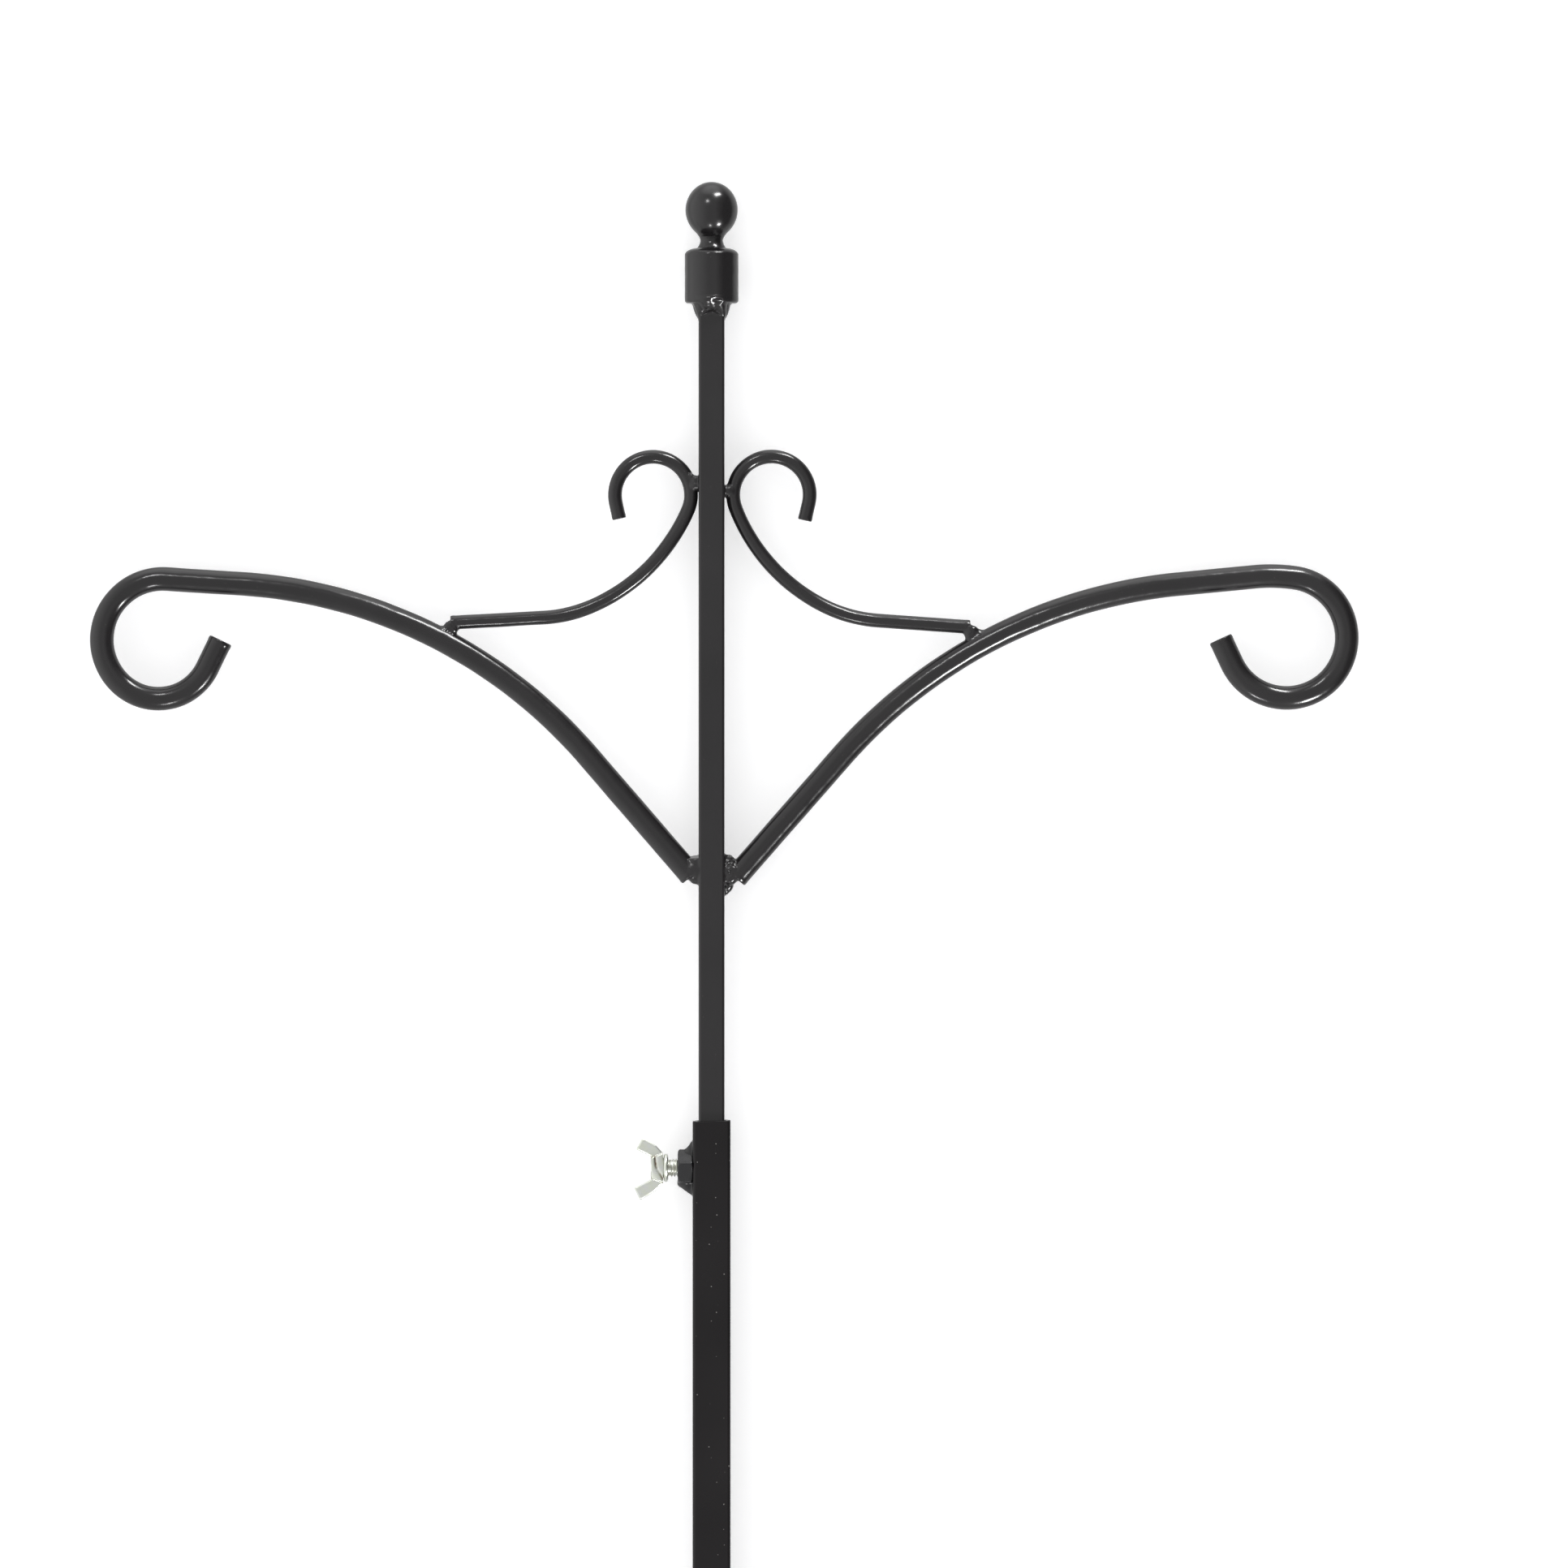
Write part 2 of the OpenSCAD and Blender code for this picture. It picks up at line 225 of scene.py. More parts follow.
def coatSurfaceGroup():   # orange peel, dust nibs and handling marks of a glossy powder coat
    group = bpy.data.node_groups.new("coatSurface", "ShaderNodeTree")
    addSockets(group,
               [("Paint", "NodeSocketColor", (0.01, 0.01, 0.01, 1)),
                ("Dust", "NodeSocketColor", (0.2, 0.2, 0.2, 1)),
                ("Gloss Roughness", "NodeSocketFloat", 0.15),
                ("Mark Roughness", "NodeSocketFloat", 0.3),
                ("Peel Height", "NodeSocketFloat", 1.0),
                ("Dust Amount", "NodeSocketFloat", 0.5)],
               [("Color", "NodeSocketColor"), ("Roughness", "NodeSocketFloat"),
                ("Normal", "NodeSocketVector")])
    tree = group
    given = addNode(tree, "NodeGroupInput", (-900, 0))
    result = addNode(tree, "NodeGroupOutput", (900, 0))
    where = addNode(tree, "ShaderNodeTexCoord", (-900, 300)).outputs["Object"]
    peel = addNoise(tree, where, 620, 1.5, (-600, 300))
    swell = addNoise(tree, where, 75, 2, (-600, 100))
    smear = addNoise(tree, where, 38, 4, (-600, -100))
    cloud = addNoise(tree, where, 14, 3, (-600, -300))
    specks = addNode(tree, "ShaderNodeTexVoronoi", (-600, -500))
    specks.inputs["Scale"].default_value = 300
    tree.links.new(where, specks.inputs["Vector"])
    pick = addNode(tree, "ShaderNodeSeparateColor", (-400, -620))
    tree.links.new(specks.outputs["Color"], pick.inputs["Color"])
    chosen = addRange(tree, pick.outputs["Red"], 0.6, 0.62, 0, 1, (-200, -620))
    dot = addRange(tree, specks.outputs["Distance"], 0.03, 0.11, 1, 0, (-200, -460))
    nib = addMath(tree, "MULTIPLY", (chosen, dot), (0, -520))
    nibShown = addMath(tree, "MULTIPLY", (nib, given.outputs["Dust Amount"]), (160, -520), use_clamp=True)

    shade = addRange(tree, cloud, 0.3, 0.7, 0.8, 1.25, (-200, -300))   # slow change of the coat's depth
    deep = addNode(tree, "ShaderNodeVectorMath", (60, -180), operation="SCALE")
    tree.links.new(given.outputs["Paint"], deep.inputs[0])
    tree.links.new(shade, deep.inputs["Scale"])
    colour = addTint(tree, nibShown, deep.outputs[0], given.outputs["Dust"], (360, -180))
    tree.links.new(colour, result.inputs["Color"])

    marks = addRange(tree, smear, 0.52, 0.78, 0, 1, (-200, -100))
    rough = addRange(tree, marks, 0, 1, given.outputs["Gloss Roughness"], given.outputs["Mark Roughness"],
                     (60, 0))
    tree.links.new(rough, result.inputs["Roughness"])

    swellPart = addRange(tree, swell, 0, 1, 0, 0.0011, (-200, 120))
    peelPart = addRange(tree, peel, 0, 1, 0, 0.00003, (-200, 300))
    height = addMath(tree, "ADD", (swellPart, peelPart), (60, 260))
    scaled = addMath(tree, "MULTIPLY", (height, given.outputs["Peel Height"]), (220, 260))
    raised = addMath(tree, "MULTIPLY_ADD", (nibShown, 0.00012, scaled), (380, 260))
    bump = addNode(tree, "ShaderNodeBump", (560, 200))
    bump.inputs["Strength"].default_value = 0.35
    bump.inputs["Distance"].default_value = 1
    tree.links.new(raised, bump.inputs["Height"])
    tree.links.new(bump.outputs["Normal"], result.inputs["Normal"])
    return group


def zincSurfaceGroup():   # mottled passivation, brown in the creases, fine rolling marks
    group = bpy.data.node_groups.new("zincSurface", "ShaderNodeTree")
    addSockets(group,
               [("Zinc", "NodeSocketColor", (0.8, 0.8, 0.75, 1)),
                ("Passivation", "NodeSocketColor", (0.75, 0.74, 0.55, 1)),
                ("Stain", "NodeSocketColor", (0.12, 0.07, 0.03, 1)),
                ("Stain Amount", "NodeSocketFloat", 1.0)],
               [("Color", "NodeSocketColor"), ("Roughness", "NodeSocketFloat"),
                ("Normal", "NodeSocketVector")])
    tree = group
    given = addNode(tree, "NodeGroupInput", (-900, 0))
    result = addNode(tree, "NodeGroupOutput", (900, 0))
    where = addNode(tree, "ShaderNodeTexCoord", (-900, 300)).outputs["Object"]
    mottle = addNoise(tree, where, 330, 3, (-600, 200))
    grain = addNoise(tree, where, 1900, 3, (-600, 0))
    dent = addNoise(tree, where, 420, 1, (-600, -200))
    crease = addNode(tree, "ShaderNodeAttribute", (-600, -400), attribute_name="crease")
    patches = addRange(tree, mottle, 0.35, 0.65, 0, 1, (-300, 200))
    tint = addTint(tree, patches, given.outputs["Zinc"], given.outputs["Passivation"], (-100, 200))
    uneven = addRange(tree, mottle, 0.35, 0.6, 0.15, 1, (-450, -300))
    patchy = addMath(tree, "MULTIPLY", (crease.outputs["Fac"], uneven), (-300, -400))
    stain = addMath(tree, "MULTIPLY", (patchy, given.outputs["Stain Amount"]), (-100, -400), use_clamp=True)
    colour = addTint(tree, stain, tint, given.outputs["Stain"], (200, 100))
    tree.links.new(colour, result.inputs["Color"])
    rough = addRange(tree, grain, 0.3, 0.7, 0.27, 0.4, (200, -100))
    tree.links.new(rough, result.inputs["Roughness"])
    height = addMath(tree, "MULTIPLY_ADD", (grain, 0.12, dent), (-100, -200))
    bump = addNode(tree, "ShaderNodeBump", (300, -300))
    bump.inputs["Strength"].default_value = 0.12
    bump.inputs["Distance"].default_value = 0.0004
    tree.links.new(height, bump.inputs["Height"])
    tree.links.new(bump.outputs["Normal"], result.inputs["Normal"])
    return group


def finishMaterial(name, group, look, sockets, shaderSockets):   # each socket with its key in look
    material = bpy.data.materials.new(name)
    material.use_nodes = True
    tree = material.node_tree
    shader = tree.nodes["Principled BSDF"]
    surface = addNode(tree, "ShaderNodeGroup", (-300, 0), node_tree=group)
    for node, named in ((surface, sockets), (shader, shaderSockets)):
        for socket, key in named.items():
            value = look[key]
            node.inputs[socket].default_value = (*value, 1) if isinstance(value, tuple) else value
    for given, taken in (("Color", "Base Color"), ("Roughness", "Roughness"), ("Normal", "Normal")):
        tree.links.new(surface.outputs[given], shader.inputs[taken])
    return material


mastLook = dict(paint=(0.0092, 0.0084, 0.0090), dust=(0.20, 0.19, 0.18), gloss=0.19, marks=0.28,
                peel=1.0, dustAmount=0.08, ior=1.5)
baseLook = dict(paint=(0.0070, 0.0062, 0.0066), dust=(0.28, 0.27, 0.26), gloss=0.22, marks=0.32,
                peel=1.0, dustAmount=0.65, ior=1.31)
fittingLook = dict(paint=(0.0070, 0.0070, 0.0078), dust=(0.2, 0.2, 0.2), gloss=0.2, marks=0.27,
                   peel=0.8, dustAmount=0.08, ior=1.5)
zincLook = dict(zinc=(0.74, 0.76, 0.73), passivation=(0.73, 0.76, 0.66), stain=(0.11, 0.06, 0.03),
                stainAmount=0.9, metallic=1)
coatSockets = {"Paint": "paint", "Dust": "dust", "Gloss Roughness": "gloss", "Mark Roughness": "marks",
               "Peel Height": "peel", "Dust Amount": "dustAmount"}
zincSockets = {"Zinc": "zinc", "Passivation": "passivation", "Stain": "stain", "Stain Amount": "stainAmount"}
coatSurface = coatSurfaceGroup()
zincSurface = zincSurfaceGroup()
mastCoat = finishMaterial("mastCoat", coatSurface, mastLook, coatSockets, {"IOR": "ior"})
baseCoat = finishMaterial("baseCoat", coatSurface, baseLook, coatSockets, {"IOR": "ior"})
fittingCoat = finishMaterial("fittingCoat", coatSurface, fittingLook, coatSockets, {"IOR": "ior"})
zincPlate = finishMaterial("zincPlate", zincSurface, zincLook, zincSockets, {"Metallic": "metallic"})
print("finishes made")


armLeft = dict(foot=(-10, -287.5), heading=130.8, rodR=6,
               moves=[[80], [250, 45.6], [38], [30.5, 138.8], [27.4, 109], [15.5]],
               edgeR=0.7, lip=0.16)
armRight = dict(foot=(11.9, -288.4), heading=48.8, rodR=6,
                moves=[[80.7], [257.5, -43.3], [39], [81.3, -14.4], [30.3, -236.2], [13.5]],
                edgeR=0.7, lip=0.12)
scrollLeft = dict(foot=(-131, -160.3), heading=3.1, rodR=3.5,
                  moves=[[46.2], [73, 21.8], [93, 41.7], [19.1, 215.9], [8.1]],
                  edgeR=0.45, lip=0.10)
scrollRight = dict(foot=(129.7, -162.5), heading=176, rodR=3.5,
                   moves=[[46], [73, -24.3], [92, -40.5], [19.2, -214.2], [8.8]],
                   edgeR=0.45, lip=0.10)


def layOut(rod):   # each run and bend of a rod, placed in the XZ plane
    x, z = rod["foot"][0], mastTop + rod["foot"][1]
    angle, start, placed = math.radians(rod["heading"]), 0, []
    for move in rod["moves"]:
        run = dict(x=x, z=z, angle=angle, start=start, radius=0, length=move[0])
        if len(move) == 1:
            x, z = x + move[0] * math.cos(angle), z + move[0] * math.sin(angle)
        else:
            radius, turn = move[0], math.radians(move[1])
            side = math.copysign(1, turn)
            cx, cz = x - side * radius * math.sin(angle), z + side * radius * math.cos(angle)
            run.update(radius=radius, length=radius * abs(turn), side=side, cx=cx, cz=cz)
            angle += turn
            x, z = cx + side * radius * math.sin(angle), cz - side * radius * math.cos(angle)
        start += run["length"]
        placed.append(run)
    return placed, start


def pointsAlong(placed, s):
    x, z, angle = np.zeros_like(s), np.zeros_like(s), np.zeros_like(s)
    for run in placed:
        here = s >= run["start"] - 1e-9
        t = s[here] - run["start"]
        if run["radius"]:
            a = run["angle"] + run["side"] * t / run["radius"]
            x[here] = run["cx"] + run["side"] * run["radius"] * np.sin(a)
            z[here] = run["cz"] - run["side"] * run["radius"] * np.cos(a)
        else:
            a = run["angle"] + 0 * t
            x[here] = run["x"] + t * math.cos(run["angle"])
            z[here] = run["z"] + t * math.sin(run["angle"])
        angle[here] = a
    return x, z, angle


def rodField(rod, x, y, z):   # distance to a rod that is sawn square at its foot
    placed = rod["placed"]
    nearest = np.full(np.shape(x), 1e3)
    for run in placed:
        if run["radius"]:
            around = np.arctan2(z - run["cz"], x - run["cx"])
            begin = run["angle"] - run["side"] * math.pi / 2
            turned = (run["side"] * (around - begin)) % (2 * math.pi)
            across = np.hypot(np.hypot(x - run["cx"], z - run["cz"]) - run["radius"], y)
            across = np.where(turned <= run["length"] / run["radius"], across, 1e3)
        else:
            c, s = math.cos(run["angle"]), math.sin(run["angle"])
            t = (x - run["x"]) * c + (z - run["z"]) * s
            off = (z - run["z"]) * c - (x - run["x"]) * s
            across = np.sqrt((t - np.clip(t, 0, run["length"])) ** 2 + off ** 2 + y ** 2)
        nearest = np.minimum(nearest, across)
    first = placed[0]
    before = -((x - first["x"]) * math.cos(first["angle"]) + (z - first["z"]) * math.sin(first["angle"]))
    return smoothMax(nearest - rod["rodR"], before, 2 * rod["edgeR"])


def sweepRod(name, rod, material):
    ringGap, sides = 1.5, 48
    placed, total = layOut(rod)
    rod["placed"] = placed
    fromEnd = np.array([0, 0.06, 0.16, 0.3, 0.46, 0.64, 0.84, 1.1, 1.4, 1.8, 2.3, 3.0])
    middle = np.linspace(4, total - 4, round((total - 8) / ringGap))
    s = [fromEnd, total - fromEnd, middle]
    s = np.unique(np.round(np.concatenate(s), 3))
    x, z, angle = pointsAlong(placed, s)
    theta = np.linspace(0, 2 * math.pi, sides, endpoint=False)
    along, around = np.meshgrid(s, theta, indexing="ij")
    edge = np.minimum(along, total - along)
    radius = np.full(along.shape, rod["rodR"], float)
    for wave in range(6):   # the coat flows a little thick and thin
        turns, pitch, phase = wave % 4, seeded.uniform(14, 70), seeded.uniform(0, 6)
        radius += 0.012 * np.sin(2 * math.pi * along / pitch + turns * around + phase)
    radius += rod["lip"] * np.exp(-((edge - 1.5) / 0.7) ** 2)
    bite = np.clip(rod["edgeR"] - edge, 0, None)
    radius -= rod["edgeR"] - np.sqrt(np.maximum(rod["edgeR"] ** 2 - bite ** 2, 0))
    out = radius * np.cos(around)
    px = x[:, None] - out * np.sin(angle)[:, None]
    pz = z[:, None] + out * np.cos(angle)[:, None]
    py = -radius * np.sin(around)
    rings = np.stack([px, py, pz], -1)
    ends = []
    for end, way in ((0, -1), (-1, 1)):   # the sawn ends dish in slightly
        centre = np.array([x[end], 0, z[end]])
        ends.append(centre - way * 0.12 * np.array([math.cos(angle[end]), 0, math.sin(angle[end])]))
    rings = np.concatenate([[ends[0] + (rings[0] - ends[0]) * k for k in (0.35, 0.7)], rings,
                            [ends[1] + (rings[-1] - ends[1]) * k for k in (0.7, 0.35)]])
    points = np.concatenate([rings.reshape(-1, 3), ends])
    faces = latheFaces(len(rings), sides)
    return addPiece(name, points, [f[::-1] for f in faces], "mast", material, [rod["node"]])


for node, rod in (("arm_left", armLeft), ("arm_right", armRight),
                  ("scroll_left", scrollLeft), ("scroll_right", scrollRight)):
    rod["node"] = node
    sweepRod(node + "_rod", rod, mastCoat)
print("rods bent")


def squareRing(half, cornerR, z, slope=0, perCorner=9):
    inset, ring = half - cornerR, []
    for quarter in range(4):
        for step in range(perCorner):
            a = math.pi / 2 * (quarter + step / (perCorner - 1))
            cx = inset * (1 if quarter in (0, 3) else -1)
            cy = inset * (1 if quarter in (0, 1) else -1)
            x, y = cx + cornerR * math.cos(a), cy + cornerR * math.sin(a)
            ring.append((x, y, z + slope * (x - half)))
    return ring


def squareTube(name, look, material, body, stands):
    half, wall, cornerR = look["half"], look["wall"], look["cornerR"]
    innerR = max(cornerR - wall, 0.5)
    rim = look["rimR"]
    rings = []

    def rimRings(z, way):   # the rounded rim at one end, from the outside wall to the inside wall
        rings = []
        turns = np.linspace(0, math.pi / 2, 5)
        for a in turns:
            cut = rim * (1 - math.cos(a))
            rings.append((half - cut, max(cornerR - cut, 0.3), z - way * rim * (1 - math.sin(a))))
        for a in turns[::-1]:
            cut = rim * (1 - math.cos(a))
            rings.append((half - wall + cut, innerR + cut, z - way * rim * (1 - math.sin(a))))
        return rings

    top, foot = look["top"], look["foot"]
    for h, r, z in rimRings(top, 1):
        rings.append(squareRing(h, r, z, look["sawSlope"]))
    for h, r, z in rimRings(foot, -1)[::-1]:
        rings.append(squareRing(h, r, z))
    rings.append(rings[0])
    sides = len(rings[0])
    points = np.array(rings[:-1]).reshape(-1, 3)
    faces = ringFaces(len(rings), sides)
    burr = look["burr"] * np.sin(2.1 * points[:, 0] + 1.3 * points[:, 1])
    points[:, 2] += np.where(points[:, 2] > top - 2, burr, 0)
    faces = [tuple(v % len(points) for v in face) for face in faces]
    return addPiece(name, points, faces, body, material, stands)


mastTubeLook = dict(half=mastHalf, wall=1.5, cornerR=1.5, rimR=0.3, top=mastTop, foot=mastFoot,
                    sawSlope=0, burr=0)
baseTubeLook = dict(half=tubeHalf, wall=2.5, cornerR=2, rimR=0.45, top=tubeTop, foot=tubeFoot,
                    sawSlope=0.03, burr=0.07, holeR=5.3)
squareTube("mast_tube_coated", mastTubeLook, mastCoat, "mast", ["mast_tube"])
baseTube = squareTube("base_tube_coated", baseTubeLook, baseCoat, "base", ["base_tube"])


def drillScrewHole(piece, look):
    bpy.ops.mesh.primitive_cylinder_add(vertices=48, radius=look["holeR"] * toMetres, depth=8 * toMetres,
                                        location=(-look["half"] * toMetres, 0, screwZ * toMetres),
                                        rotation=(0, math.pi / 2, 0))
    drill = bpy.context.object
    cut = piece.modifiers.new("screwHole", "BOOLEAN")
    cut.operation = "DIFFERENCE"
    cut.object = drill
    bpy.context.view_layer.update()
    shaped = bpy.data.meshes.new_from_object(piece.evaluated_get(bpy.context.evaluated_depsgraph_get()))
    piece.modifiers.clear()
    piece.data = shaped
    bpy.data.objects.remove(drill)


drillScrewHole(baseTube, baseTubeLook)


spikeLook = dict(plugTop=25, plugHalf=6.95, tipHalf=1.5, tipR=0.9)


def makeSpike(look):
    rings = [(look["plugHalf"], 0.6, tubeFoot + look["plugTop"]), (look["plugHalf"], 0.6, tubeFoot)]
    rings.append((tubeHalf - 0.7, 1.4, tubeFoot - 0.02))
    rings.append((tubeHalf - 0.15, 1.9, tubeFoot - 0.35))
    rings.append((tubeHalf, 2.0, tubeFoot - 1.0))
    length = tubeFoot - 2 - spikeTip
    for share in np.linspace(0, 1, 24):   # the forged faces belly out a little
        z = tubeFoot - 2 - share * (length - 1.2)
        half = tubeHalf + (look["tipHalf"] - tubeHalf) * share + 0.5 * math.sin(math.pi * share)
        rings.append((half, 2.0 + (look["tipR"] - 2.0) * share, z))
    for a in np.linspace(0.3, 1.35, 4):
        z = spikeTip + 1.2 - 1.2 * math.sin(a)
        rings.append((look["tipHalf"] * math.cos(a), look["tipR"] * math.cos(a), z))
    points = [p for half, r, z in rings for p in squareRing(half, min(r, half * 0.98), z)]
    sides = len(points) // len(rings)
    points += [(0, 0, rings[0][2]), (0, 0, spikeTip)]
    return addPiece("ground_spike_forged", points, latheFaces(len(rings), sides), "base",
                    baseCoat, ["ground_spike"])


makeSpike(spikeLook)
print("tubes and spike made")


stepLook = dict(length=62, width=14, thick=6, edgeR=0.9, seat=0.02)


def makeStepBar(name, side, look):
    half, start = look["width"] / 2, tubeHalf + look["seat"]
    end = start + look["length"] - half
    points, levels = [], []
    for a in np.linspace(0, math.pi / 2, 5):
        levels.append((look["edgeR"] * (1 - math.sin(a)), look["edgeR"] * (1 - math.cos(a))))
    for inset, z in levels + [(i, look["thick"] - z) for i, z in levels[::-1]]:
        outline = [(start, half - inset), (start, 0), (start, inset - half)]
        run = np.linspace(start, end, 9)[1:]
        outline += [(x, inset - half) for x in run]
        outline += [(end + (half - inset) * math.cos(a), (half - inset) * math.sin(a))
                    for a in np.linspace(-math.pi / 2, math.pi / 2, 17)[1:-1]]
        outline += [(x, half - inset) for x in run[::-1]]
        points += [(side * x, y, z) for x, y in outline]
    sides = len(points) // (2 * len(levels))
    middle = side * (start + look["length"] / 2)
    points += [(middle, 0, 0), (middle, 0, look["thick"])]
    faces = latheFaces(2 * len(levels), sides)
    if side < 0:
        faces = [f[::-1] for f in faces]
    return addPiece(name + "_flat", points, faces, "base", baseCoat, [name])


makeStepBar("step_bar_left", -1, stepLook)
makeStepBar("step_bar_right", 1, stepLook)


def dropsField(drops, x, y, z, soft):   # drops of weld metal, each (x, y, z, radius, how far it runs along Y)
    field = np.full(np.shape(x), 1e3)
    for dx, dy, dz, r, run in drops:
        endOn = np.maximum(np.abs(y - dy) - run, 0)
        field = smoothMin(field, np.sqrt((x - dx) ** 2 + endOn ** 2 + (z - dz) ** 2) - r, soft)
    return field


def meltInto(skin, parents, fade):   # 0.05 proud of the parents at the middle and 0.25 below them at the edge
    return skin * (1 - fade) + parents * fade - 0.05 + 0.3 * fade


def beadField(bead, x, y, z):   # a bead melts into the parts it joins, and sinks below them at its edge
    parents = [parent(x, y, z) for parent in bead["joins"]]
    nearest = np.minimum.reduce(parents)
    drops = dropsField(bead["drops"], x, y, z, bead["soft"])
    fade = np.clip(drops / bead["reach"], 0, 1) ** 2
    skin = smoothMin(smoothMin(parents[0], parents[1], bead["fillet"]), drops, bead["fillet"])
    wave = 2 * math.pi / bead["ripplePitch"]
    ripple = np.sin(wave * z + 1.2 * np.sin(0.5 * wave * y)) * np.sin(0.7 * wave * (x + y) + 0.7)
    skin = meltInto(skin, nearest, fade) - bead["ripple"] * ripple * (1 - fade)
    for px, py, pz, r in bead.get("pits", []):
        skin = smoothMax(skin, r - np.sqrt((x - px) ** 2 + (y - py) ** 2 + (z - pz) ** 2), 0.3)
    for point, normal in bead.get("facets", []):
        skin = smoothMax(skin, sum((at - p) * n for at, p, n in zip((x, y, z), point, normal)), 0.35)
    return np.maximum(np.maximum(skin, drops - bead["reach"]), -(nearest + bead["bite"]))


def makeBead(name, bead, body, material, cell=0.36):
    xs, ys, zs, rs, runs = np.array(bead["drops"]).T
    spread = rs + bead["reach"] + 0.5
    low = ((xs - spread).min(), (ys - runs - spread).min(), (zs - spread).min())
    high = ((xs + spread).max(), (ys + runs + spread).max(), (zs + spread).max())
    points, faces = meshOfField(lambda x, y, z: beadField(bead, x, y, z), low, high, cell)
    return addPiece(name + "_bead", points, faces, body, material, [name])


def mastField(x, y, z):
    return np.maximum(squareBar(x, y, mastHalf, 1.5), z - mastTop)


def tubeField(x, y, z):
    return squareBar(x, y, tubeHalf, 2)


def joinsMast(rod):
    return [mastField, lambda x, y, z: rodField(rod, x, y, z)]


def hung(drops):   # drops and pits are placed by their height from the mast's top
    return [(x, y, mastTop + z, *rest) for x, y, z, *rest in drops]


armWeldLeft = dict(
    joins=joinsMast(armLeft), soft=2.0, fillet=2.4, reach=2.6, bite=0.5, ripple=0.03, ripplePitch=3.2,
    drops=hung([(-8.2, 0, -280.0, 2.8, 2.6), (-8.8, 0, -284.4, 3.4, 2.6), (-8.2, 0, -288.7, 2.8, 2.2)]),
    facets=[((-9, 0, mastTop - 277.6), (-0.1, -0.2, 0.97))])
armWeldRight = dict(
    joins=joinsMast(armRight), soft=0.7, fillet=2.2, reach=2.5, bite=0.5, ripple=0.05, ripplePitch=2.6,
    drops=hung([(8.5, 0, -279.6, 2.8, 1.4), (7.5, -3.0, -277.9, 1.0, 0), (9.3, -3.5, -278.5, 0.9, 0),
                (10.4, -3.3, -280.1, 0.9, 0), (8.2, -4.1, -280.4, 0.9, 0), (9.9, -4.2, -281.6, 0.9, 0),
                (9.3, 0, -284.6, 3.6, 2.3), (9.4, 0, -288.8, 3.3, 2.5),
                (8.2, 1.2, -292.3, 2.7, 0.8), (7.8, 1.2, -293.9, 2.1, 0.7), (7.2, 1.2, -295.4, 1.3, 0.6)]),
    pits=hung([(9.1, -6.1, -285.3, 0.85)]))
scrollMastWeldLeft = dict(
    joins=joinsMast(scrollLeft), soft=1.2, fillet=2.2, reach=2.4, bite=0.4, ripple=0.03, ripplePitch=2.6,
    drops=hung([(-8.2, 0, -88.4, 1.7, 2.5), (-8.2, 0, -91.3, 2.0, 2.5), (-10.0, -2.9, -86.5, 0.6, 0)]))
scrollMastWeldRight = dict(
    joins=joinsMast(scrollRight), soft=1.2, fillet=3.0, reach=3.2, bite=0.4, ripple=0.02, ripplePitch=2.6,
    drops=hung([(8.3, 0, -94.1, 1.7, 2.3)]))
scrollArmWeldLeft = dict(
    joins=[lambda x, y, z: rodField(armLeft, x, y, z), lambda x, y, z: rodField(scrollLeft, x, y, z)],
    soft=1.2, fillet=2.2, reach=2.4, bite=0.4, ripple=0.09, ripplePitch=1.7,
    drops=hung([(-132.0, 0, -161.9, 2.1, 1.0), (-129.7, 0, -163.8, 1.9, 1.2), (-134.2, 0, -163.9, 1.5, 1.2)]),
    pits=hung([(-133.4, -5.2, -165.0, 0.6)]))
scrollArmWeldRight = dict(
    joins=[lambda x, y, z: rodField(armRight, x, y, z), lambda x, y, z: rodField(scrollRight, x, y, z)],
    soft=1.4, fillet=3.0, reach=3.2, bite=0.4, ripple=0.02, ripplePitch=2.2,
    drops=hung([(131.5, 0, -164.3, 2.3, 1.4), (129.7, 0, -166.4, 2.1, 1.4), (133.8, 0, -165.5, 1.5, 1.2)]))

makeBead("arm_weld_left", armWeldLeft, "mast", mastCoat)
makeBead("arm_weld_right", armWeldRight, "mast", mastCoat, cell=0.3)
makeBead("scroll_mast_weld_left", scrollMastWeldLeft, "mast", mastCoat, cell=0.26)
makeBead("scroll_mast_weld_right", scrollMastWeldRight, "mast", mastCoat, cell=0.26)
makeBead("scroll_arm_weld_left", scrollArmWeldLeft, "mast", mastCoat, cell=0.26)
makeBead("scroll_arm_weld_right", scrollArmWeldRight, "mast", mastCoat, cell=0.26)
print("arm and scroll welds made")


finialLook = dict(collarR=13.5, collarH=27.7, domeW=5.5, domeH=3.4, bottomR=1.6,
                  ballR=13.15, ballTall=14.1, ballLift=19.2,
                  waistR=5.65, waistZ=3.9, neckFlare=0.17, ballFlare=0.29, groove=0.06, sides=96)


def lathePiece(name, outline, material, body, stands, sides):   # the outline runs upward
    theta = np.linspace(0, 2 * math.pi, sides, endpoint=False)
    rings = [[(r * math.cos(a), r * math.sin(a), z) for a in theta] for r, z in outline]
    points = np.array(rings).reshape(-1, 3).tolist()
    points += [(0, 0, outline[0][1]), (0, 0, outline[-1][1])]
    return addPiece(name, points, latheFaces(len(rings), sides), body, material, stands)


def arcPoints(cx, cz, r, fromAngle, toAngle, count):
    turns = np.radians(np.linspace(fromAngle, toAngle, count))
    return [(cx + r * math.cos(a), cz + r * math.sin(a)) for a in turns]


